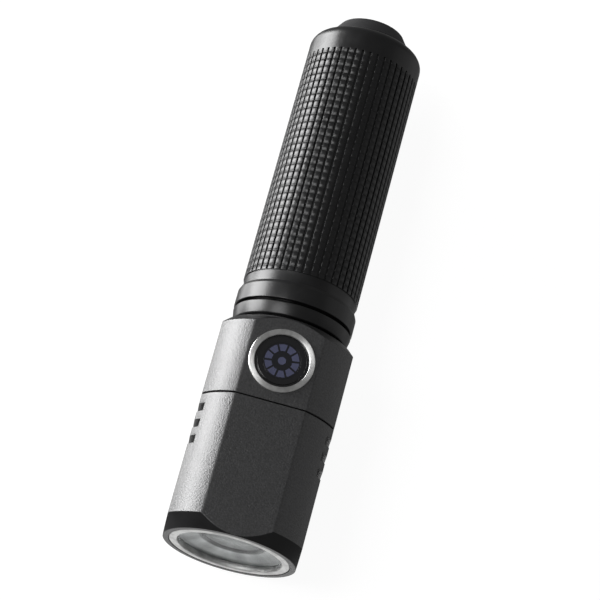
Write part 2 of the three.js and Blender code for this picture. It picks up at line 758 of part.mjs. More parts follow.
// The threaded ring that clamps the tail board, with two notches for a pin spanner.
function tailRetainer() {
  const rear = tailBoardFront - play;
  const front = rear - retainerLength;
  const outer = boreRadius - play;
  const body = ring(outer - retainerWall, outer, front, rear, fewSides);
  const notch = (side) => box(3 * retainerWall, 1.6, retainerNotch, side * outer, front, 0);
  return piece("tail_retaining_ring", cut(body, [notch(-1), notch(1)]), brass);
}

const tailBoard = () => piece("tail_board",
  disc(boreRadius - play, tailBoardFront, tailBoardFront + tailBoardThickness, fewSides), boardGreen);

const tailHolder = () => piece("tail_switch_holder",
  ring(tailHolderOpening, boreRadius - play, tailHolderFront,
    tailHolderFront + tailHolderThickness, fewSides), blackPlastic);

const tailSwitch = () => piece("tail_switch",
  box(tailSwitchSide, tailSwitchHeight, tailSwitchSide, 0, tailHolderFront + tailSwitchHeight / 2, 0),
  blackPlastic);

function tailBoot() {
  const side = boreRadius - tailLipWall - 0.15;
  const flange = side + bootFlangeRise;
  const flangeRear = bootFlangeFront + bootFlangeThickness;
  const coneFrom = tubeEnd + bootSideLength;
  const top = tubeEnd + bootStand;
  const edge = bootEdgeRound;
  const hollowTop = top - bootWall;
  return piece("tail_boot", turned([
    [0, hollowTop], [bootTopRadius - bootWall, hollowTop], [side - bootWall, coneFrom],
    [side - bootWall, bootFlangeFront], [flange, bootFlangeFront], [flange, flangeRear],
    [side, flangeRear], [side, coneFrom], [bootTopRadius, top - edge],
    [bootTopRadius - 0.3 * edge, top - 0.3 * edge], [bootTopRadius - edge, top], [0, top],
  ], innerSides), blackRubber);
}

function tailPlunger() {
  const discTop = tubeEnd + bootStand - bootWall - play;
  const discBottom = discTop - plungerDiscThickness;
  const stemEnd = tailHolderFront + tailSwitchHeight + tailTravel + play;
  return piece("tail_plunger", turned([
    [0, stemEnd], [plungerStemRadius, stemEnd], [plungerStemRadius, discBottom],
    [plungerDiscRadius, discBottom], [plungerDiscRadius, discTop], [0, discTop],
  ], fewSides), whitePlastic);
}

// ---------- the assembly ----------

const flashlight = new THREE.Group();
flashlight.position.set(0, -lampLength / 2, flatHeight);
flashlight.add(
  headSleeve(), bezelRing(), frontWindow(), windowSeal(), collimatorOptic(), opticHolder(),
  innerBarrel(), focusSeal(), guidePin(), ledBoard(), ledEmitter(), ledCentringRing(),
  lampScrew(1, 1), lampScrew(2, -1), ledWire("led_wire_positive", 1, redWire),
  ledWire("led_wire_negative", -1, blackWire), driverBoard(), driverInductor(), contactSpring(),
  switchHousing(), neckSeal(), neckRing(), tubeSeal(),
  buttonRing(), buttonCap(), gaugeDisplay(), switchBoard(), tactSwitch(),
  batteryCell(), cellInsulator(),
  batteryTube(), tailSpring(), tailRetainer(), tailBoard(), tailHolder(), tailSwitch(),
  tailBoot(), tailPlunger(),
);

export default flashlight;
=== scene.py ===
"""Looks for a pocket flashlight: a sliding head, a side button with a battery gauge, a knurled
tube and a rubber tail button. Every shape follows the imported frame. The lamp's axis runs along Y,
with the window towards -Y. Outlines are in millimetres about that axis, and meshes in metres."""
import math

import bmesh
import bpy
import numpy as np
from bpy.props import FloatProperty, FloatVectorProperty, IntProperty, PointerProperty
from mathutils import Matrix, Vector


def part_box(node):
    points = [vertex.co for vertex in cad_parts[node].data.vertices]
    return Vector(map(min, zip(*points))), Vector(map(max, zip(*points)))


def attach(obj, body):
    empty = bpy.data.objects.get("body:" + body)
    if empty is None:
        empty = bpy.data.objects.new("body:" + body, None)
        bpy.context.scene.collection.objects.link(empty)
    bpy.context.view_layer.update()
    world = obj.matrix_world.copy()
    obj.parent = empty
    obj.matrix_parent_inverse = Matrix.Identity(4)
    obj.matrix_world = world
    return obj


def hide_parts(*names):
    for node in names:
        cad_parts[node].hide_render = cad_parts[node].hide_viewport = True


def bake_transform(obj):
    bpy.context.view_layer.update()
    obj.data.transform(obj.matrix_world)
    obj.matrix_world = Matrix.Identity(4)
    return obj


bl_info = {
    "name": "Pocket flashlight",
    "version": (1, 0, 0),
    "blender": (4, 5, 0),
    "location": "3D View > Sidebar > Flashlight",
    "description": "Builds the pieces, finishes and studio of a pocket flashlight",
    "category": "Object",
}

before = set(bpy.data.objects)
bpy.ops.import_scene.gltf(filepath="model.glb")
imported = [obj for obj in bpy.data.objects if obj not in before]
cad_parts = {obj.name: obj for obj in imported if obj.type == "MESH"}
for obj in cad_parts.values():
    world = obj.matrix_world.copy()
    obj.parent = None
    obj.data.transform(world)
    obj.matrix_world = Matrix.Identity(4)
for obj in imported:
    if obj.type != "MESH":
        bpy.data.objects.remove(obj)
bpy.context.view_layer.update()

MM = 0.001
SEAT_GAP = 0.05  # millimetres between a bore and the piece that sits in it
SHARP_ANGLE = 32  # degrees between two faces from which their edge is shaded sharp
SLEEVE_LOW, SLEEVE_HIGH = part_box("head_sleeve")
AXIS_Z = (SLEEVE_LOW.z + SLEEVE_HIGH.z) / 2
RIM_Y = SLEEVE_LOW.y
FLAT = (SLEEVE_HIGH.z - SLEEVE_LOW.z) / 2 / MM


# ---------- sizes read from the frame, in millimetres ----------

def spots(node):
    """The node's corners as rows of x, y, z about the axis, with y counted from the front rim."""
    corners = np.array([v.co[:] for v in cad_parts[node].data.vertices])
    return (corners - (0, RIM_Y, AXIS_Z)) / MM


def stations(node):
    """Where the node starts and ends, counted from the front rim."""
    along = spots(node)[:, 1]
    return along.min(), along.max()


def radii(node):
    """The node's least and greatest distance from the axis."""
    out = np.hypot(*spots(node)[:, [0, 2]].T)
    return out.min(), out.max()


CORNER = radii("head_sleeve")[1]
SEAM = stations("head_sleeve")[1]
HOUSING_FRONT, NIPPLE_END = stations("switch_housing")
NECK_FRONT, NECK_REAR = stations("neck_ring")
TUBE_FRONT, TUBE_END = stations("battery_tube")
BORE, COLLAR = radii("battery_tube")
CELL_BORE = radii("switch_housing")[0]
BUTTON_Y = sum(stations("button_cap")) / 2
BUTTON_TOP = spots("button_cap")[:, 2].max()
RING_TOP = spots("button_bezel")[:, 2].max()
RING_RADIUS = spots("button_bezel")[:, 0].max()


class FlashlightSizes(bpy.types.PropertyGroup):
    """Sizes that shape the pieces."""
    edge_round: FloatProperty(
        name="Edge round", description="Radius on the head's machined edges",
        default=0.14 * MM, unit="LENGTH")
    flat_blend: FloatProperty(
        name="Flat blend", description="How softly a flat runs into the round corner",
        default=0.1 * MM, unit="LENGTH")
    rim_chamfer: FloatProperty(
        name="Rim chamfer", description="Length of the cone at the front rim",
        default=2.7 * MM, unit="LENGTH")
    rear_chamfer: FloatProperty(
        name="Rear chamfer", description="Length of the cone behind the switch housing",
        default=1.78 * MM, unit="LENGTH")
    slot_width: FloatProperty(
        name="Slot width", description="Width of each slot across the side flats",
        default=1.6 * MM, unit="LENGTH")
    slot_depth: FloatProperty(
        name="Slot depth", description="Depth of each slot below the side flats",
        default=1.1 * MM, unit="LENGTH")
    groove_count: IntProperty(
        name="Grooves", description="Lengthwise grooves round the grip", default=48, min=12)
    groove_width: FloatProperty(
        name="Groove width", description="Width of a lengthwise groove",
        default=0.44 * MM, unit="LENGTH")
    groove_depth: FloatProperty(
        name="Groove depth", description="Depth of a lengthwise groove",
        default=0.3 * MM, unit="LENGTH")
    ring_pitch: FloatProperty(
        name="Ring pitch", description="Distance between the fine grooves round the grip",
        default=1.65 * MM, unit="LENGTH")
    ring_width: FloatProperty(
        name="Ring width", description="Width of a fine groove round the grip",
        default=0.14 * MM, unit="LENGTH")
    ring_depth: FloatProperty(
        name="Ring depth", description="Depth of a fine groove round the grip",
        default=0.08 * MM, unit="LENGTH")
    thread_depth: FloatProperty(
        name="Thread depth", description="Depth of the neck's screw thread",
        default=0.4 * MM, unit="LENGTH")


class FlashlightColours(bpy.types.PropertyGroup):
    """Colours of the finishes that show."""
    head: FloatVectorProperty(
        name="Head", description="Bead-blasted black anodised aluminium",
        default=(0.049, 0.049, 0.05), subtype="COLOR", min=0, max=1)
    tube: FloatVectorProperty(
        name="Tube", description="Turned black anodised aluminium",
        default=(0.009, 0.009, 0.0095), subtype="COLOR", min=0, max=1)
    steel: FloatVectorProperty(
        name="Steel", description="The bright rings round the window and the button",
        default=(0.86, 0.86, 0.85), subtype="COLOR", min=0, max=1)
    optic: FloatVectorProperty(
        name="Optic", description="The silvery optic behind the window",
        default=(0.4, 0.41, 0.41), subtype="COLOR", min=0, max=1)
    rubber: FloatVectorProperty(
        name="Rubber", description="The tail button and the seals",
        default=(0.014, 0.014, 0.015), subtype="COLOR", min=0, max=1)
    button: FloatVectorProperty(
        name="Button", description="The glossy side button",
        default=(0.004, 0.004, 0.005), subtype="COLOR", min=0, max=1)
    gauge: FloatVectorProperty(
        name="Gauge", description="The unlit bars of the battery gauge",
        default=(0.068, 0.073, 0.13), subtype="COLOR", min=0, max=1)
    floor: FloatVectorProperty(
        name="Floor", description="The studio floor",
        default=(0.95, 0.95, 0.95), subtype="COLOR", min=0, max=1)


class FlashlightStudio(bpy.types.PropertyGroup):
    """Lights and camera."""
    key_power: FloatProperty(
        name="Key light", description="Power of the tall softbox on the left",
        default=7.5, subtype="POWER")
    side_power: FloatProperty(
        name="Side light", description="Power of the weak strip on the right",
        default=0.24, subtype="POWER")
    top_power: FloatProperty(
        name="Top light", description="Power of the soft light overhead",
        default=2.6, subtype="POWER")
    fill_power: FloatProperty(
        name="Front fill", description="Power of the low light that the window ring mirrors",
        default=0.57, subtype="POWER")
    camera_distance: FloatProperty(
        name="Camera distance", description="From the lens to the point it looks at",
        default=0.526, unit="LENGTH")
    camera_elevation: FloatProperty(
        name="Camera elevation", description="Angle of the line of sight above the floor",
        default=math.radians(69.08), subtype="ANGLE")
    camera_roll: FloatProperty(
        name="Camera roll", description="Turn of the camera about its line of sight",
        default=math.radians(15.4), subtype="ANGLE")
    camera_lens: FloatProperty(
        name="Camera lens", description="Focal length in millimetres on a 36 mm sensor",
        default=154.45)


# ---------- mesh helpers ----------

def finished_mesh(name, points, faces, sharp=SHARP_ANGLE):
    """A closed mesh object from points in metres, with outward faces and smooth shading."""
    mesh = bpy.data.meshes.new(name)
    mesh.from_pydata(points, [], faces)
    tidy = bmesh.new()
    tidy.from_mesh(mesh)
    bmesh.ops.remove_doubles(tidy, verts=tidy.verts, dist=1e-7)
    bmesh.ops.recalc_face_normals(tidy, faces=tidy.faces)
    tidy.to_mesh(mesh)
    tidy.free()
    mesh.shade_smooth()
    mesh.set_sharp_from_angle(angle=math.radians(sharp))
    piece = bpy.data.objects.new(name, mesh)
    bpy.context.scene.collection.objects.link(piece)
    return piece


def rounded(corners, steps=5):
    """An outline with its corners rounded. A corner is (radius, station, round), and the outline
    closes on itself unless it starts on the axis."""
    open_ended = corners[0][0] == 0
    outline = []
    for i, (r, y, fillet) in enumerate(corners):
        corner = Vector((r, y))
        if fillet == 0 or (open_ended and i in (0, len(corners) - 1)):
            outline.append((r, y))
            continue
        back = Vector(corners[i - 1][:2]) - corner
        ahead = Vector(corners[(i + 1) % len(corners)][:2]) - corner
        half = back.angle(ahead) / 2
        reach = min(fillet / math.tan(half), 0.48 * back.length, 0.48 * ahead.length)
        radius = reach * math.tan(half)
        middle = (back.normalized() + ahead.normalized()).normalized()
        centre = corner + middle * radius / math.sin(half)
        start, end = (corner + way.normalized() * reach - centre for way in (back, ahead))
        first = math.atan2(start.y, start.x)
        turn = math.remainder(math.atan2(end.y, end.x) - first, 2 * math.pi)
        for step in range(steps + 1):
            angle = first + turn * step / steps
            outline.append((centre.x + radius * math.cos(angle),
                            centre.y + radius * math.sin(angle)))
    return outline


def divided(outline, longest, within=lambda r, y: True):
    """The outline with extra points wherever it runs further than longest inside a region."""
    result = []
    open_ended = outline[0][0] == 0
    for (r0, y0), (r1, y1) in zip(outline, outline[1:] + ([] if open_ended else outline[:1])):
        result.append((r0, y0))
        if within((r0 + r1) / 2, (y0 + y1) / 2):
            count = math.ceil(math.hypot(r1 - r0, y1 - y0) / longest)
            result += [(r0 + (r1 - r0) * k / count, y0 + (y1 - y0) * k / count)
                       for k in range(1, count)]
    return result + (outline[-1:] if open_ended else [])


def turned(name, outline, columns=192, shape=None, sharp=SHARP_ANGLE):
    """A piece turned about the lamp's axis. Columns is a number or a list of angles from the
    button's side, and shape(radius, station, angle) may change the radius."""
    angles = (np.arange(columns) * 2 * np.pi / columns if isinstance(columns, int)
              else np.asarray(columns))
    rows, count = len(outline), len(angles)
    radius, station = (np.repeat(np.array(outline)[:, [k]], count, 1) for k in (0, 1))
    if shape:
        radius = shape(radius, station, np.repeat(angles[None], rows, 0))
    points = np.stack([radius * np.sin(angles), station, radius * np.cos(angles)], -1)
    points = points.reshape(-1, 3) * MM + (0, RIM_Y, AXIS_Z)
    index = np.arange(rows * count).reshape(rows, count)
    if outline[0][0] > 0:
        index = np.vstack([index, index[:1]])
    ahead = np.roll(index, -1, 1)
    quads = np.stack([index[:-1], ahead[:-1], ahead[1:], index[1:]], -1).reshape(-1, 4)
    return finished_mesh(name, points.tolist(), quads.tolist(), sharp)


def ring_seal(name, inner, outer, low, high, columns=160, sides=20):
    """An O-ring squeezed between two radii and two stations."""
    turns = [2 * math.pi * k / sides for k in range(sides)]
    section = [((inner + outer) / 2 + (outer - inner) / 2 * math.cos(t),
                (low + high) / 2 + (high - low) / 2 * math.sin(t)) for t in turns]
    return turned(name, section, columns)


def stand_on_button(piece):
    """Turns a piece made along the lamp's axis so that it stands on the button's axis instead."""
    to_origin = Matrix.Translation((0, -RIM_Y, -AXIS_Z))
    stand = Matrix.Rotation(math.pi / 2, 4, "X")
    to_button = Matrix.Translation((0, RIM_Y + BUTTON_Y * MM, AXIS_Z))
    piece.data.transform(to_button @ stand @ to_origin)
    return piece


def cut_away(piece, cutter):
    """Takes the cutter's solid out of the piece, and removes the cutter."""
    change = piece.modifiers.new("Cut", "BOOLEAN")
    change.operation, change.solver, change.object = "DIFFERENCE", "EXACT", cutter
    graph = bpy.context.evaluated_depsgraph_get()
    mesh = bpy.data.meshes.new_from_object(piece.evaluated_get(graph))
    piece.modifiers.clear()
    piece.data = mesh
    mesh.shade_smooth()
    mesh.set_sharp_from_angle(angle=math.radians(SHARP_ANGLE))
    bpy.data.objects.remove(cutter)
    return piece


def settle(piece, body, slot, finish, *nodes):
    """Gives the piece its finish and its body, and hides the nodes it stands for. The slot is not
    used.
    """
    piece.data.materials.append(finish)
    if body:
        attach(piece, body)
    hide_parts(*nodes)
    return piece


# ---------- finishes ----------

def new_finish(name, **values):
    """A material, its node tree and its shader, with plain values set on the shader's sockets. The
    tree and shader are None when the material was made before."""
    finish = bpy.data.materials.get(name)
    if finish:
        return finish, None, None
    finish = bpy.data.materials.new(name)
    finish.use_nodes = True
    tree = finish.node_tree
    shader = tree.nodes["Principled BSDF"]
    for socket, value in values.items():
        shader.inputs[socket.replace("_", " ")].default_value = value
    return finish, tree, shader


def node(tree, kind, settings=None, **inputs):
    """A node with its settings made and its inputs set or linked. An input is named as its socket
    is, with _ for a space, or as a number with i before it."""
    made = tree.nodes.new("ShaderNode" + kind)
    for name, value in (settings or {}).items():
        setattr(made, name, value)
    for name, value in inputs.items():
        numbered = name[0] == "i" and name[1:].isdigit()
        socket = made.inputs[int(name[1:]) if numbered else name.replace("_", " ")]
        if isinstance(value, bpy.types.NodeSocket):
            tree.links.new(value, socket)
        else:
            socket.default_value = value
    return made


def place(tree):
    """Coordinates fixed to the piece, in metres."""
    return node(tree, "TexCoord").outputs["Object"]


def grain(tree, grains_per_metre, detail=2.0, stretch=None):
    """Fine noise, 0 to 1, that may be stretched along an axis."""
    where = place(tree)
    if stretch:
        where = node(tree, "Mapping", Vector=where, Scale=stretch).outputs[0]
    return node(tree, "TexNoise", Vector=where, Scale=grains_per_metre, Detail=detail,
                Roughness=0.55).outputs["Fac"]


def between(tree, fac, low, high, start=0.3, end=0.7):
    """A number that runs from low to high as fac goes from start to end."""
    return node(tree, "MapRange", Value=fac, From_Min=start, From_Max=end,
                To_Min=low, To_Max=high).outputs[0]


def ramp(tree, fac, stops):
    """A colour that runs through stops, each a place on fac and its colour."""
    made = node(tree, "ValToRGB", Fac=fac)
    elements = made.color_ramp.elements
    for element, (position, colour) in zip(elements, (stops[0], stops[-1])):
        element.position, element.color = position, (*colour, 1)
    for position, colour in stops[1:-1]:
        elements.new(position).color = (*colour, 1)
    return made.outputs[0]


def tones(tree, fac, dark, light, start=0.3, end=0.7):
    """A colour that runs from dark to light as fac goes from start to end."""
    return ramp(tree, fac, ((start, dark), (end, light)))


def relief(tree, shader, height, distance, strength=1.0):
    """Sends a height to the shader's normal, distance in metres."""
    bump = node(tree, "Bump", Height=height, Distance=distance, Strength=strength)
    tree.links.new(bump.outputs[0], shader.inputs["Normal"])


def paint(tree, shader, tint, roughness):
    """Sends a colour and a roughness to the shader."""
    tree.links.new(tint, shader.inputs["Base Color"])
    tree.links.new(roughness, shader.inputs["Roughness"])


def scaled(colour, factor):
    """The colour made darker or lighter, and kept within 1."""
    return [min(1, c * factor) for c in colour]


def blasted_anodise():
    """Bead-blasted black anodise: a fine sparkling grain, faint cloudiness."""
    colour = bpy.context.scene.flashlight_colours.head
    finish, tree, shader = new_finish("Blasted anodise", Metallic=0.2, Specular_IOR_Level=0.52)
    if tree:
        beads = grain(tree, 3000, 3.0)
        clouds = grain(tree, 140, 3.0)
        tint = tones(tree, beads, scaled(colour, 0.72), scaled(colour, 1.3))
        paint(tree, shader, tint, between(tree, clouds, 0.27, 0.31))
        relief(tree, shader, beads, 0.085 * MM, 0.85)
    return finish


def turned_anodise():
    """Turned black anodise: smoother and darker, with the faintest turning marks round it."""
    colour = bpy.context.scene.flashlight_colours.tube
    finish, tree, shader = new_finish("Turned anodise", Metallic=0.35, Specular_IOR_Level=0.6)
    if tree:
        marks = grain(tree, 900, 2.0, stretch=(1, 9, 1))
        clouds = grain(tree, 260, 3.0)
        tint = tones(tree, clouds, scaled(colour, 0.8), scaled(colour, 1.25))
        paint(tree, shader, tint, between(tree, clouds, 0.29, 0.36))
        relief(tree, shader, marks, 0.01 * MM, 0.5)
    return finish


def about_axis(tree, centre, axis="Y"):
    """(angle, distance) about a line through centre, both as sockets."""
    local = node(tree, "VectorMath", {"operation": "SUBTRACT"}, i0=place(tree), i1=centre)
    parts = node(tree, "SeparateXYZ", Vector=local.outputs[0]).outputs
    side = parts["Z"] if axis == "Y" else parts["Y"]
    angle = node(tree, "Math", {"operation": "ARCTAN2"}, i0=side, i1=parts["X"]).outputs[0]
    square = node(tree, "Math", {"operation": "MULTIPLY"}, i0=side, i1=side).outputs[0]
    sum_of = node(tree, "Math", {"operation": "MULTIPLY_ADD"},
                  i0=parts["X"], i1=parts["X"], i2=square).outputs[0]
    distance = node(tree, "Math", {"operation": "SQRT"}, i0=sum_of).outputs[0]
    return angle, distance


def circles(tree, angle, distance, per_metre, per_turn):
    """Noise in fine circles: it changes quickly with distance and slowly with angle."""
    across = node(tree, "Math", {"operation": "MULTIPLY"}, i0=distance, i1=per_metre).outputs[0]
    around = node(tree, "Math", {"operation": "MULTIPLY"}, i0=angle, i1=per_turn).outputs[0]
    where = node(tree, "CombineXYZ", X=across, Y=around).outputs[0]
    return node(tree, "TexNoise", Vector=where, Scale=1.0, Detail=3.0).outputs["Fac"]


def brushed_steel(name, centre, axis, roughness, grooved):
    """Bright steel brushed in circles about an axis, with dull patches where it has been handled.
    Grooved, 0 to 1, says how far its reflections stretch across the brushing."""
    colour = bpy.context.scene.flashlight_colours.steel
    finish, tree, shader = new_finish(
        name, Metallic=1.0, Anisotropic=grooved, Anisotropic_Rotation=0.25)
    if tree:
        around = node(tree, "Tangent", {"direction_type": "RADIAL", "axis": axis})
        tree.links.new(around.outputs[0], shader.inputs["Tangent"])
        angle, distance = about_axis(tree, centre, axis)
        lines = circles(tree, angle, distance, 9000, 3)
        dull = grain(tree, 420, 3.0)
        tint = tones(tree, dull, scaled(colour, 0.72), colour, 0.35, 0.6)
        paint(tree, shader, tint, between(tree, lines, roughness - 0.04, roughness + 0.04))
        relief(tree, shader, lines, 0.004 * MM, 0.4)
    return finish


def silvered_optic():
    """The optic: silvery under clear acrylic, with the streaks that its cone throws outwards
    painted into its colour as reflections. The dark circle between its lens and its funnel is
    painted shade, one of its zones of painted light and shade by distance from the axis."""
    colour = bpy.context.scene.flashlight_colours.optic
    finish, tree, shader = new_finish("Optic", Metallic=0.4, Specular_IOR_Level=0.3)
    reach = 11
    # tones by distance from the axis, painted light and shade: a dark circle of painted shade
    # between lens and funnel, and painted lighter bands just outside it and at the funnel's edge
    painted_light_and_shade_zones = ((0, 0.8), (0.54, 0.8), (0.575, 0.35), (0.61, 0.35), (0.64, 1.1), (0.75, 0.8), (1, 1))
    if tree:
        angle, distance = about_axis(tree, (0, 0, AXIS_Z), "Y")
        # radial streaks of noise, painted into the colour as the cone's reflections; they also vary
        # the roughness and the bump
        painted_reflection_streaks = circles(tree, angle, distance, 90, 2.4)
        tint = tones(tree, painted_reflection_streaks, scaled(colour, 0.72), scaled(colour, 1.2), 0.35, 0.65)
        outwards = between(tree, distance, 0, 1, 0, reach * MM)
        shade = ramp(tree, outwards, [(place_of, (tone,) * 3) for place_of, tone in painted_light_and_shade_zones])
        tint = node(tree, "Mix", {"data_type": "RGBA", "blend_type": "MULTIPLY"},
                    i0=1.0, i6=tint, i7=shade).outputs[2]
        paint(tree, shader, tint, between(tree, painted_reflection_streaks, 0.42, 0.3))
        relief(tree, shader, painted_reflection_streaks, 0.1 * MM, 0.2)
    return finish


def clear_glass():
    """The window: thin and coated, so it hardly bends or mirrors light, and faintly uneven."""
    finish, tree, shader = new_finish(
        "Window glass", Base_Color=(0.97, 0.98, 0.98, 1), Transmission_Weight=1.0, IOR=1.05)
    if tree:
        polish = grain(tree, 300, 2.0)
        tree.links.new(between(tree, polish, 0.0, 0.02), shader.inputs["Roughness"])
    return finish


def soft_rubber():
    """Matt black rubber with a fine skin."""
    colour = bpy.context.scene.flashlight_colours.rubber
    finish, tree, shader = new_finish("Rubber", Specular_IOR_Level=0.45)
    if tree:
        skin = grain(tree, 3600, 3.0)
        tint = tones(tree, grain(tree, 200, 3.0), scaled(colour, 0.8), scaled(colour, 1.35))
        paint(tree, shader, tint, between(tree, skin, 0.52, 0.66))
        relief(tree, shader, skin, 0.02 * MM, 0.4)
    return finish


def moulded(name, colour, roughness=0.4, metallic=0.0, grains=1800, coat=0.0, depth=0.01):
    """A moulded or plated finish: one colour that wavers a little, over a fine skin."""
    finish, tree, shader = new_finish(
        name, Metallic=metallic, Coat_Weight=coat, Coat_Roughness=0.06)
    if tree:
        skin = grain(tree, grains, 3.0)
        tint = tones(tree, grain(tree, grains / 8, 3.0), scaled(colour, 0.85), scaled(colour, 1.1))
        paint(tree, shader, tint, between(tree, skin, 0.85 * roughness, 1.15 * roughness))
        relief(tree, shader, skin, depth * MM, 0.3)
    return finish


# ---------- head ----------

HEAD_COLUMNS = 720


def edge_drop(away, land, depth, wall=0.01):
    """How far a surface has dropped at a distance from a groove's wall: the full depth inside it, a
    rounded shoulder of width land outside it, nothing beyond."""
    shoulder = land - np.sqrt(np.maximum(land ** 2 - np.clip(land - away, 0, land) ** 2, 0))
    return np.where(away < -wall, depth, np.where(away < land, np.minimum(shoulder, depth), 0))


def smooth_least(a, b, blend):
    """The lesser of two, with the corner between them rounded."""
    near = np.maximum(blend - np.abs(a - b), 0) / max(blend, 1e-9)
    return np.minimum(a, b) - near * near * blend / 4


def flattened(radius, angle, blend):
    """The radius of a round bar with four flats at this angle."""
    nearest = angle - np.round(angle / (np.pi / 2)) * np.pi / 2
    return smooth_least(radius, FLAT / np.cos(nearest), blend)


def smooth_cone(shell, inside):
    """Turns the faces of a cone on the shell, where inside(radius, station) holds off the flats,
    from blasted to plain turned anodise."""
    flat_margin = 0.02
    shell.data.materials.append(turned_anodise())
    for face in shell.data.polygons:
        x, y, z = (face.center - Vector((0, RIM_Y, AXIS_Z))) / MM
        on_flat = max(abs(x), abs(z)) > FLAT - flat_margin
        if inside(math.hypot(x, z), y) and not on_flat:
            face.material_index = 1


class FLASHLIGHT_OT_head_sleeve(bpy.types.Operator):
    """Builds the sliding head sleeve with its flats, rim cone and side slots"""
    bl_idname = "flashlight.head_sleeve"
    bl_label = "Head sleeve"

    def execute(self, context):
        sizes = context.scene.flashlight_sizes
        edge, blend = sizes.edge_round / MM, sizes.flat_blend / MM
        chamfer, width = sizes.rim_chamfer / MM, sizes.slot_width / MM
        slot_floor = FLAT - sizes.slot_depth / MM
        rim = CORNER - 1.84
        bezel_bore = radii("bezel_ring")[1] + SEAT_GAP
        bezel_end = stations("bezel_ring")[1] + SEAT_GAP
        holder_bore = radii("optic_holder")[1] + SEAT_GAP
        holder_end = stations("optic_holder")[0] + 2.1
        barrel_bore = radii("inner_barrel")[1] + SEAT_GAP
        lip, lip_front = radii("head_sleeve")[0], SEAM - 0.8
        last_slot, pitch, count = SEAM - 2.95, 3.44, 3
        centres = [last_slot - pitch * k for k in range(count)]
        slot_round, through = 0.1, 99
        lead_in = (slot_round, 0.06, 0.03, 0.01, 0, -0.005)
        walls = []
        for centre in reversed(centres):
            walls += [(CORNER, centre - width / 2 - offset, 0) for offset in lead_in]
            walls += [(CORNER, centre + width / 2 + offset, 0) for offset in reversed(lead_in)]
        outline = rounded([
            (bezel_bore, 0, 0.1), (rim, 0, 0.25), (CORNER, chamfer, 0.3), *walls,
            (CORNER, SEAM, edge), (lip, SEAM, edge), (lip, lip_front, 0.05),
            (barrel_bore, lip_front, 0.05), (barrel_bore, holder_end, 0.05),
            (holder_bore, holder_end, 0.05), (holder_bore, bezel_end, 0.05),
            (bezel_bore, bezel_end, 0.05),
        ])
        outline = divided(outline, 0.1, lambda r, y: r > CORNER - 1.9 and y < chamfer + 0.1)

        def shape(radius, station, angle):
            outer = flattened(radius, angle, blend)
            bottom = slot_floor / np.maximum(np.abs(np.sin(angle)), 1e-6)
            for centre in centres:
                away = np.abs(station - centre) - width / 2
                cut = edge_drop(away, slot_round, through, wall=0.001)
                cut = np.where(radius > CORNER - 0.01, cut, 0)
                sunk = np.minimum(outer, np.maximum(bottom, outer - cut))
                outer = np.where(cut > 0, sunk, outer)
            return outer

        sleeve = turned("head_sleeve_shell", outline, HEAD_COLUMNS, shape)
        settle(sleeve, "focus_head", "black_anodised", blasted_anodise(), "head_sleeve")
        smooth_cone(sleeve, lambda r, y: y < chamfer + 0.05 and r > CORNER - 2)
        return {"FINISHED"}


class FLASHLIGHT_OT_bezel_ring(bpy.types.Operator):
    """Builds the bright ring that holds the window"""
    bl_idname = "flashlight.bezel_ring"
    bl_label = "Bezel ring"

    def execute(self, context):
        front, rear = stations("bezel_ring")
        lip, outer = radii("bezel_ring")
        window_front, collar_end = stations("front_window")
        skirt, collar, seat = outer - 0.42, lip + 0.3, window_front - 0.1
        ring = turned("bezel_ring_turned", rounded([
            (lip, front, 0.3), (outer, front, 0.25), (outer, rear, 0.08), (skirt, rear, 0.05),
            (skirt, seat, 0.05), (collar, seat, 0.05), (collar, collar_end, 0.05),
            (lip, collar_end, 0.05)]), 256)
        settle(ring, "focus_head", "bright_steel",
               brushed_steel("Window ring steel", (0, 0, AXIS_Z), "Y", 0.52, 0.3), "bezel_ring")
        return {"FINISHED"}


class FLASHLIGHT_OT_window(bpy.types.Operator):
    """Builds the clear window and the seal behind it"""
    bl_idname = "flashlight.window"
    bl_label = "Window"

    def execute(self, context):
        front, rear = stations("front_window")
        edge = 0.03
        radius = radii("bezel_ring")[0] - edge
        glass = turned("front_window_glass", rounded([
            (0, front, 0), (radius, front, edge), (radius, rear, edge), (0, rear, 0)]))
        settle(glass, "focus_head", "window_glass", clear_glass(), "front_window")
        seal = ring_seal("window_seal", *radii("window_oring"), *stations("window_oring"))
        settle(seal, "focus_head", "black_rubber", soft_rubber(), "window_oring")
        return {"FINISHED"}


class FLASHLIGHT_OT_optic(bpy.types.Operator):
    """Builds the optic: a funnel round a domed lens"""
    bl_idname = "flashlight.optic"
    bl_label = "Optic"

    def execute(self, context):
        front, rear = stations("collimator_optic")
        outer = radii("collimator_optic")[1]
        rim, flange = outer - 0.8, front + 2.7
        lens, edge, crown, ball = 6.63, front + 1.1, front + 0.9, 33.7
        dome = [(r, crown + ball - math.sqrt(ball ** 2 - r ** 2), 0)
                for r in np.linspace(0.6, 6.0, 11).tolist()]
        moat, moat_depth = lens - 0.3, 0.4
        shoulder, foot, swell = rim - 0.2, 4.2, 0.9
        waist = 0.5 * (shoulder + foot) + swell
        pocket, pocket_top, pocket_dome = 2.9, rear - 4.4, 0.7
        optic = turned("optic_lens", rounded([
            (0, crown, 0), *dome, (moat, edge + moat_depth, 0.12), (lens, edge, 0.12),
            (rim, front, 0.3), (outer, front, 0.1), (outer, flange, 0.08),
            (shoulder, flange, 0.1), (waist, 0.5 * (flange + rear), 0), (foot, rear, 0.1),
            (pocket, rear, 0.1), (pocket - 0.3, pocket_top, 0.3),
            (0, pocket_top - pocket_dome, 0)]), 256)
        settle(optic, "focus_head", "optic_acrylic", silvered_optic(), "collimator_optic")
        return {"FINISHED"}


# ---------- switch housing and neck ----------

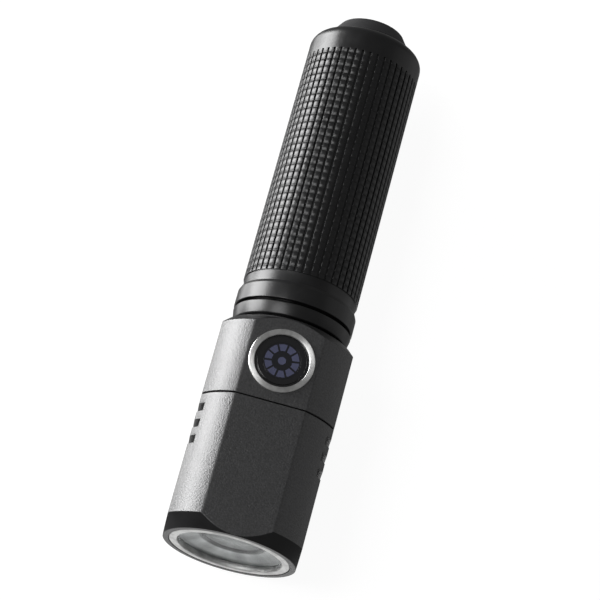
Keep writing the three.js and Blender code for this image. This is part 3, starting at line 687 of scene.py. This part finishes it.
class FLASHLIGHT_OT_switch_housing(bpy.types.Operator):
    """Builds the switch housing with its flats, button pocket and threaded neck"""
    bl_idname = "flashlight.switch_housing"
    bl_label = "Switch housing"

    def execute(self, context):
        sizes = context.scene.flashlight_sizes
        edge, blend = sizes.edge_round / MM, sizes.flat_blend / MM
        chamfer, depth = sizes.rear_chamfer / MM, sizes.thread_depth / MM
        rear = NECK_FRONT - 1.35
        nipple = CELL_BORE + 0.8
        seal_bed, seal_low, seal_high = nipple - 0.45, TUBE_FRONT + 1, TUBE_FRONT + 2.3
        thread_low, thread_high = seal_high + 0.25, NIPPLE_END - 0.35
        run_out = 0.3
        outline = rounded([
            (CELL_BORE, HOUSING_FRONT, 0.1), (CORNER, HOUSING_FRONT, edge),
            (CORNER, rear - chamfer, 0.25), (CORNER - chamfer, rear, 0.15),
            (nipple, rear, 0.05), (nipple, seal_low, 0.08), (seal_bed, seal_low, 0.05),
            (seal_bed, seal_high, 0.05), (nipple, seal_high, 0.08), (nipple, NIPPLE_END, 0.3),
            (CELL_BORE, NIPPLE_END, 0.08)])
        outline = divided(
            outline, 0.1, lambda r, y: r > FLAT - 0.1 and rear - chamfer - 0.1 < y < rear)
        outline = divided(
            outline, 0.09, lambda r, y: abs(r - nipple) < 0.05 and thread_low < y < NIPPLE_END)

        def shape(radius, station, angle):
            outer = flattened(radius, angle, blend)
            turns = station + angle / (2 * np.pi)
            tooth = 1 - np.abs(2 * (turns - np.floor(turns)) - 1)
            tooth = np.clip(1.6 * tooth - 0.3, 0, 1)
            ends = (np.clip((station - thread_low) / run_out, 0, 1)
                    * np.clip((thread_high - station) / run_out, 0, 1))
            on_neck = np.abs(radius - nipple) < run_out + 0.01
            return outer - np.where(on_neck, depth * tooth * ends, 0)

        housing = turned("switch_housing_shell", outline, HEAD_COLUMNS, shape)
        pocket = radii_about_button("button_bezel", below=FLAT) + 0.15
        bottom, above = CELL_BORE + 0.4, CORNER + 2
        cutter = stand_on_button(turned("pocket_cutter", [
            (0, bottom), (pocket, bottom), (pocket, above), (0, above)], 160))
        cut_away(housing, cutter)
        settle(housing, "switch_body", "black_anodised", blasted_anodise(), "switch_housing")
        smooth_cone(housing, lambda r, y: y > rear - chamfer)
        return {"FINISHED"}


def radii_about_button(node_name, below=None):
    """The node's greatest distance from the button's axis, or that of its part below a height."""
    corners = spots(node_name)
    if below is not None:
        corners = corners[corners[:, 2] < below - 0.2]
    return np.hypot(corners[:, 0], corners[:, 1] - BUTTON_Y).max()


class FLASHLIGHT_OT_neck(bpy.types.Operator):
    """Builds the loose ring on the neck and the two seals beside it"""
    bl_idname = "flashlight.neck"
    bl_label = "Neck ring and seals"

    def execute(self, context):
        inner, outer = radii("neck_ring")
        ring = turned("neck_ring_turned", rounded([
            (inner, NECK_FRONT, 0.1), (outer - 0.6, NECK_FRONT, 0.4),
            (outer - 0.05, NECK_REAR, 0.2), (inner, NECK_REAR, 0.1)]), 256)
        settle(ring, "switch_body", "black_anodised", turned_anodise(), "neck_ring")
        for name, node_name in (("neck_seal", "neck_oring"), ("tube_seal", "tube_oring")):
            seal = ring_seal(name, *radii(node_name), *stations(node_name))
            settle(seal, "switch_body", "black_rubber", soft_rubber(), node_name)
        return {"FINISHED"}


class FLASHLIGHT_OT_inner_barrel(bpy.types.Operator):
    """Gives the focusing barrel, which shows when the head slides out, its finish"""
    bl_idname = "flashlight.inner_barrel"
    bl_label = "Focusing barrel"

    def execute(self, context):
        dress("inner_barrel", turned_anodise())
        return {"FINISHED"}


# ---------- side button ----------

class FLASHLIGHT_OT_button_ring(bpy.types.Operator):
    """Builds the bright ring round the side button"""
    bl_idname = "flashlight.button_ring"
    bl_label = "Button ring"

    def execute(self, context):
        body = radii_about_button("button_bezel", below=FLAT)
        opening = RING_RADIUS - 1.13
        skirt = body - 0.3
        under = FLAT + 0.03
        low = spots("button_bezel")[:, 2].min()
        lip = FLAT - 0.16
        ring = stand_on_button(turned("button_ring_turned", rounded([
            (opening, lip, 0.03), (opening, RING_TOP, 0.16), (RING_RADIUS, RING_TOP, 0.2),
            (RING_RADIUS, under, 0.03), (body, under, 0), (body, low, 0.05),
            (skirt, low, 0.05), (skirt, lip, 0.03)])))
        settle(ring, "switch_body", "bright_steel",
               brushed_steel("Button ring steel", (0, RIM_Y + BUTTON_Y * MM, 0), "Z", 0.4, 0.88),
               "button_bezel")
        return {"FINISHED"}


class FLASHLIGHT_OT_button_cap(bpy.types.Operator):
    """Builds the glossy cap of the side button"""
    bl_idname = "flashlight.button_cap"
    bl_label = "Button cap"

    def execute(self, context):
        low = spots("button_cap")[:, 2].min()
        foot = radii_about_button("button_cap")
        cap_radius = foot - 0.75
        foot_top = FLAT - 0.21
        well = radii_about_button("gauge_display") + 0.1
        floor = spots("gauge_display")[:, 2].min() - 0.05
        cap = stand_on_button(turned("button_cap_moulded", rounded([
            (0, low, 0), (foot, low, 0.05), (foot, foot_top, 0.08), (cap_radius, foot_top, 0.03),
            (cap_radius, BUTTON_TOP, 0.2), (well, BUTTON_TOP, 0.03), (well, floor, 0.03),
            (0, floor, 0)]), 160))
        gloss = moulded("Button gloss", context.scene.flashlight_colours.button, 0.12,
                        coat=0.5, grains=900, depth=0.002)
        settle(cap, "mode_button", "button_gloss", gloss, "button_cap")
        return {"FINISHED"}


class FLASHLIGHT_OT_gauge(bpy.types.Operator):
    """Builds the battery gauge in the cap: a dark plate, ten bars and a centre light"""
    bl_idname = "flashlight.gauge"
    bl_label = "Battery gauge"

    bar_count: IntProperty(name="Bars", description="Bars round the gauge", default=10, min=4)

    def execute(self, context):
        low, plate_top = spots("gauge_display")[:, 2].min(), BUTTON_TOP - 0.02
        bar_low, bar_top = BUTTON_TOP - 0.05, BUTTON_TOP + 0.012
        radius = radii_about_button("gauge_display") + 0.07
        colour = context.scene.flashlight_colours.gauge
        plate = stand_on_button(turned("gauge_plate", rounded([
            (0, low, 0), (radius, low, 0.03), (radius, plate_top, 0.03), (0, plate_top, 0)]), 128))
        tinted = moulded("Gauge plate", scaled(colour, 0.07), 0.1,
                         coat=0.5, grains=700, depth=0.002)
        settle(plate, "mode_button", "gauge_plastic", tinted, "gauge_display")
        inner, outer, gap = 2.06, 3.45, 0.4
        dot_radius, dot_sides = 0.8, 40
        points, faces = [], []
        for bar in range(self.bar_count):
            middle = (bar + 0.75) * 2 * math.pi / self.bar_count
            rim = []
            for r, steps, way in ((inner, 8, 1), (outer, 12, -1)):
                half = math.pi / self.bar_count - gap / 2 / r
                arc = [middle - half + 2 * half * k / steps for k in range(steps + 1)]
                rim += [(r * math.cos(a), r * math.sin(a)) for a in arc[::way]]
            add_tile(points, faces, rim, bar_low, bar_top)
        turns = [2 * math.pi * k / dot_sides for k in range(dot_sides)]
        dot = [(dot_radius * math.cos(a), dot_radius * math.sin(a)) for a in turns]
        add_tile(points, faces, dot, bar_low, bar_top)
        bars = finished_mesh("gauge_bars", points, faces)
        pale = moulded("Gauge bars", colour, 0.25, coat=0.3, grains=1500, depth=0.003)
        settle(bars, "mode_button", "gauge_plastic", pale, "gauge_display")
        return {"FINISHED"}


def add_tile(points, faces, rim, low, high):
    """Adds a flat tile with this rim about the button's axis, between two heights."""
    start, count = len(points), len(rim)
    for height in (low, high):
        points += [(x * MM, RIM_Y + (BUTTON_Y + y) * MM, AXIS_Z + height * MM) for x, y in rim]
    faces.append(list(range(start, start + count)))
    faces.append(list(range(start + count, start + 2 * count)))
    for k in range(count):
        ahead = (k + 1) % count
        faces.append([start + k, start + ahead, start + count + ahead, start + count + k])


# ---------- battery tube and tail ----------

class FLASHLIGHT_OT_battery_tube(bpy.types.Operator):
    """Builds the battery tube with its cross-cut grip"""
    bl_idname = "flashlight.battery_tube"
    bl_label = "Battery tube"

    def execute(self, context):
        sizes = context.scene.flashlight_sizes
        tube = COLLAR - 0.4
        waist = tube - 0.25
        collar_end, grip_from = TUBE_FRONT + 4, TUBE_FRONT + 6.35
        grip_to = TUBE_END - 5.85
        groove_half = sizes.groove_width / MM / 2 / tube
        ring_half, pitch = sizes.ring_width / MM / 2, sizes.ring_pitch / MM
        groove_depth, ring_depth = sizes.groove_depth / MM, sizes.ring_depth / MM
        step = 2 * math.pi / sizes.groove_count
        socket, socket_end = CELL_BORE + 1.15, NIPPLE_END + 0.05
        lip_front = TUBE_END - 1.6

        # the edges beside the grooves are rounded over these widths, and a wall leans by its slope
        land, ring_land, slope = 0.08, 0.05, 0.03
        wall = [groove_half - slope / tube, groove_half, groove_half + 0.35 * land / tube,
                groove_half + land / tube]
        offsets = [-a for a in reversed(wall)] + wall + [step / 2]
        columns = [step * (k + 0.5) + a for k in range(sizes.groove_count) for a in offsets]

        ring_count = int((grip_to - grip_from) / pitch)
        margin = (grip_to - grip_from - (ring_count - 1) * pitch) / 2
        rings = [grip_from + margin + pitch * k for k in range(ring_count)]
        grip = [grip_from + 0.03, grip_from + 0.1]
        for centre in rings:
            grip += [centre + side * (ring_half + a)
                     for side, a in ((-1, ring_land), (-1, -0.02), (1, -0.02), (1, ring_land))]
        grip = [y for y in grip if y < grip_to - 0.12] + [grip_to - 0.1, grip_to - 0.03]
        end_drop, end_length, end_steps = 2.05, 2.35, 10
        end = [(tube - end_drop * (1 - math.cos(a)), TUBE_END - end_length * (1 - math.sin(a)), 0)
               for a in (math.pi / 2 * k / end_steps for k in range(end_steps + 1))]
        outline = rounded([
            (socket, TUBE_FRONT, 0.12), (COLLAR, TUBE_FRONT, 0.15), (COLLAR, collar_end - 0.7, 0.5),
            (COLLAR - 0.3, collar_end, 0.08), (waist, collar_end, 0.06), (waist, grip_from, 0.06),
            (tube, grip_from, 0.05), *((tube, y, 0) for y in grip), (tube, grip_to, 0),
            (tube, grip_to + 0.2, 0), *end, (BORE, TUBE_END, 0.1), (BORE, lip_front, 0.05),
            (CELL_BORE, lip_front, 0.05), (CELL_BORE, socket_end, 0.05),
            (socket, socket_end, 0.05)])

        def shape(radius, station, angle):
            on_grip = ((radius > tube - 0.02) & (station > grip_from + 0.06)
                       & (station < grip_to - 0.06))
            across = np.abs((angle / step) % 1 - 0.5) * step
            lengthwise = edge_drop((across - groove_half) * tube, land, groove_depth)
            along = np.abs((station - rings[0] + pitch / 2) % pitch - pitch / 2)
            round_it = np.where((station > rings[0] - 0.5) & (station < rings[-1] + 0.5),
                                edge_drop(along - ring_half, ring_land, ring_depth), 0)
            return radius - np.where(on_grip, np.maximum(lengthwise, round_it), 0)

        body = turned("battery_tube_knurled", outline, columns, shape, sharp=50)
        settle(body, "tube", "black_anodised", turned_anodise(), "battery_tube")
        return {"FINISHED"}


class FLASHLIGHT_OT_tail_boot(bpy.types.Operator):
    """Builds the rubber tail button"""
    bl_idname = "flashlight.tail_boot"
    bl_label = "Tail button"

    def execute(self, context):
        flange_front, top = stations("tail_boot")
        flange = radii("tail_boot")[1]
        side = flange - 0.5
        flange_rear, cone = flange_front + 1.1, TUBE_END + 0.9
        wall, crown = 1.6, 6.85
        outline = rounded([
            (0, top - wall, 0), (crown - wall, top - wall, 0.3), (side - wall, cone, 0.3),
            (side - wall, flange_front, 0.1), (flange, flange_front, 0.1),
            (flange, flange_rear, 0.1), (side, flange_rear, 0.1), (side, cone, 0.5),
            (crown, top, 0.6), (0, top, 0)])
        outline = divided(outline, 0.35, lambda r, y: y > TUBE_END - 0.5)
        boot = turned("tail_boot_rubber", outline, 160)
        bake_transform(boot)
        settle(boot, None, "black_rubber", soft_rubber(), "tail_boot")
        return {"FINISHED"}


# ---------- inner parts ----------

def dress(node_name, finish):
    """Gives a node that keeps its shape this finish."""
    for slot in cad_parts[node_name].material_slots:
        slot.material = finish


class FLASHLIGHT_OT_inner_parts(bpy.types.Operator):
    """Finishes the parts inside: seals, lamp board, driver, springs, switches and cell"""
    bl_idname = "flashlight.inner_parts"
    bl_label = "Inner parts"

    def execute(self, context):
        spring = moulded("Spring steel", (0.55, 0.54, 0.52), 0.3, metallic=1.0, grains=2500)
        brass = moulded("Gold plate", (0.83, 0.62, 0.3), 0.28, metallic=1.0, grains=2500)
        board = moulded("Board green", (0.012, 0.09, 0.04), 0.35, grains=1400, coat=0.3)
        white = moulded("White plastic", (0.78, 0.77, 0.74), 0.45, grains=1600)
        black = moulded("Black plastic", (0.018, 0.018, 0.019), 0.45, grains=1600)
        finishes = {
            "focus_oring": soft_rubber(), "guide_pin": spring,
            "optic_holder": moulded("Silver plastic", (0.6, 0.61, 0.62), 0.35, metallic=0.8,
                                    grains=1500),
            "led_board": moulded("Board white", (0.82, 0.83, 0.82), 0.3, grains=1400, coat=0.3),
            "led_emitter": moulded("Lamp phosphor", (0.85, 0.66, 0.08), 0.35, grains=4000,
                                   coat=0.6),
            "led_centring_ring": white, "led_board_screw_1": spring, "led_board_screw_2": spring,
            "led_wire_positive": moulded("Red insulation", (0.45, 0.012, 0.01), 0.4, grains=1500),
            "led_wire_negative": black, "driver_board": board, "driver_inductor": black,
            "contact_spring": brass, "switch_board": board, "tact_switch": spring,
            "battery_cell": moulded("Cell wrap", (0.03, 0.07, 0.22), 0.3, grains=500, coat=0.4),
            "cell_insulator": white, "tail_spring": spring, "tail_retaining_ring": brass,
            "tail_board": board, "tail_switch_holder": black, "tail_switch": black,
            "tail_plunger": white,
        }
        for node_name, finish in finishes.items():
            dress(node_name, finish)
        return {"FINISHED"}


# ---------- studio ----------

def softbox(name, centre, target, width, height, power, roll=0.0):
    """A soft rectangular light that the camera doesn't see, turned by roll about its own normal."""
    data = bpy.data.lights.new(name, "AREA")
    data.shape, data.size, data.size_y, data.energy = "RECTANGLE", width, height, power
    lamp = bpy.data.objects.new(name, data)
    lamp.location = centre
    aim = (Vector(target) - Vector(centre)).to_track_quat("-Z", "Y").to_matrix()
    lamp.rotation_euler = (aim @ Matrix.Rotation(roll, 3, "Z")).to_euler()
    lamp.visible_camera = False
    bpy.context.scene.collection.objects.link(lamp)
    return lamp


class FLASHLIGHT_OT_studio(bpy.types.Operator):
    """Builds the floor, the lights, the pale surroundings and the camera"""
    bl_idname = "flashlight.studio"
    bl_label = "Studio"

    def execute(self, context):
        scene, studio = context.scene, context.scene.flashlight_studio
        self.add_floor(scene)
        self.add_surroundings(scene)
        lean, spill_share = math.radians(20), 0.27
        softbox("Key softbox", (-0.5, 0.17, 0.05), (0, 0.17, 0.05), 0.5, 0.32,
                studio.key_power, roll=lean)
        softbox("Key spill", (-0.5, 0.25, -0.31), (0, 0.25, -0.31), 0.42, 0.36,
                spill_share * studio.key_power)
        softbox("Side sheet", (0.5, 0.19, 0), (0, 0.19, 0), 0.4, 0.75, studio.side_power)
        softbox("Top softbox", (-0.45, -0.1, 0.75), (0, 0, 0), 0.35, 0.35, studio.top_power)
        softbox("Front fill", (0, -0.3, -0.45), (0, -0.06, 0), 0.6, 0.4, studio.fill_power)
        self.add_camera(scene, studio)
        scene.view_settings.view_transform = "Standard"
        return {"FINISHED"}

    def add_floor(self, scene):
        """A pale floor that the camera sees and the lamp does not mirror"""
        half = 6.0
        mesh = bpy.data.meshes.new("studio_floor")
        mesh.from_pydata([(-half, -half, 0), (half, -half, 0), (half, half, 0), (-half, half, 0)],
                         [], [(0, 1, 2, 3)])
        floor = bpy.data.objects.new("studio_floor", mesh)
        scene.collection.objects.link(floor)
        colour = scene.flashlight_colours.floor
        finish, tree, shader = new_finish(
            "Studio floor", Roughness=0.9, Emission_Color=(1, 1, 1, 1), Emission_Strength=0.93)
        tint = tones(tree, grain(tree, 3, 2.0), scaled(colour, 0.15), scaled(colour, 0.17))
        tree.links.new(tint, shader.inputs["Base Color"])
        mesh.materials.append(finish)
        floor.visible_glossy = floor.visible_diffuse = floor.visible_shadow = False

    def add_surroundings(self, scene):
        """White behind the floor for the camera, and a dim white room for everything else"""
        world = bpy.data.worlds.new("Studio surroundings")
        world.use_nodes = True
        scene.world = world
        tree = world.node_tree
        seen = node(tree, "LightPath").outputs["Is Camera Ray"]
        dim = tree.nodes["Background"]
        dim.inputs["Color"].default_value = (1, 1, 1, 1)
        dim.inputs["Strength"].default_value = 0.2
        pale = node(tree, "Background", Color=(1, 1, 1, 1), Strength=1.0)
        both = node(tree, "MixShader", i0=seen, i1=dim.outputs[0], i2=pale.outputs[0])
        tree.links.new(both.outputs[0], tree.nodes["World Output"].inputs["Surface"])

    def add_camera(self, scene, studio):
        """A long lens that looks down on the lamp from its front"""
        data = bpy.data.cameras.new("Camera")
        data.sensor_width, data.lens = 36, studio.camera_lens
        data.clip_start, data.clip_end = 0.01, 50
        camera = bpy.data.objects.new("Camera", data)
        scene.collection.objects.link(camera)
        back = Vector((0, -math.cos(studio.camera_elevation), math.sin(studio.camera_elevation)))
        middle_x, middle_y = 0.25 * MM, -3.7 * MM
        target = Vector((middle_x, middle_y, AXIS_Z))
        camera.location = target + back * studio.camera_distance
        aim = (-back).to_track_quat("-Z", "Y").to_matrix().to_4x4()
        camera.rotation_euler = (aim @ Matrix.Rotation(studio.camera_roll, 4, "Z")).to_euler()
        scene.camera = camera


# ---------- registering and running ----------

OPERATORS = (
    FLASHLIGHT_OT_head_sleeve, FLASHLIGHT_OT_bezel_ring, FLASHLIGHT_OT_window, FLASHLIGHT_OT_optic,
    FLASHLIGHT_OT_switch_housing, FLASHLIGHT_OT_neck, FLASHLIGHT_OT_inner_barrel,
    FLASHLIGHT_OT_button_ring, FLASHLIGHT_OT_button_cap, FLASHLIGHT_OT_gauge,
    FLASHLIGHT_OT_battery_tube, FLASHLIGHT_OT_tail_boot, FLASHLIGHT_OT_inner_parts,
    FLASHLIGHT_OT_studio,
)


class FLASHLIGHT_PT_panel(bpy.types.Panel):
    """Lists the flashlight's pieces, sizes and colours"""
    bl_idname = "FLASHLIGHT_PT_panel"
    bl_label = "Flashlight"
    bl_space_type = "VIEW_3D"
    bl_region_type = "UI"
    bl_category = "Flashlight"

    def draw(self, context):
        for name, group in GROUPS.items():
            box = self.layout.box()
            for setting in group.__annotations__:
                box.prop(getattr(context.scene, name), setting)
        for operator in OPERATORS:
            self.layout.operator(operator.bl_idname)


GROUPS = {"flashlight_sizes": FlashlightSizes, "flashlight_colours": FlashlightColours,
          "flashlight_studio": FlashlightStudio}
CLASSES = (*GROUPS.values(), *OPERATORS, FLASHLIGHT_PT_panel)


def register():
    """Registers the classes and hangs the three groups on the scene."""
    for cls in CLASSES:
        bpy.utils.register_class(cls)
    for name, group in GROUPS.items():
        setattr(bpy.types.Scene, name, PointerProperty(type=group))


def unregister():
    """Takes away what register added."""
    for name in GROUPS:
        delattr(bpy.types.Scene, name)
    for cls in reversed(CLASSES):
        bpy.utils.unregister_class(cls)


def main():
    """Builds every piece and the studio in order."""
    register()
    for operator in OPERATORS:
        category, name = operator.bl_idname.split(".")
        getattr(getattr(bpy.ops, category), name)()


if __name__ == "__main__":
    main()
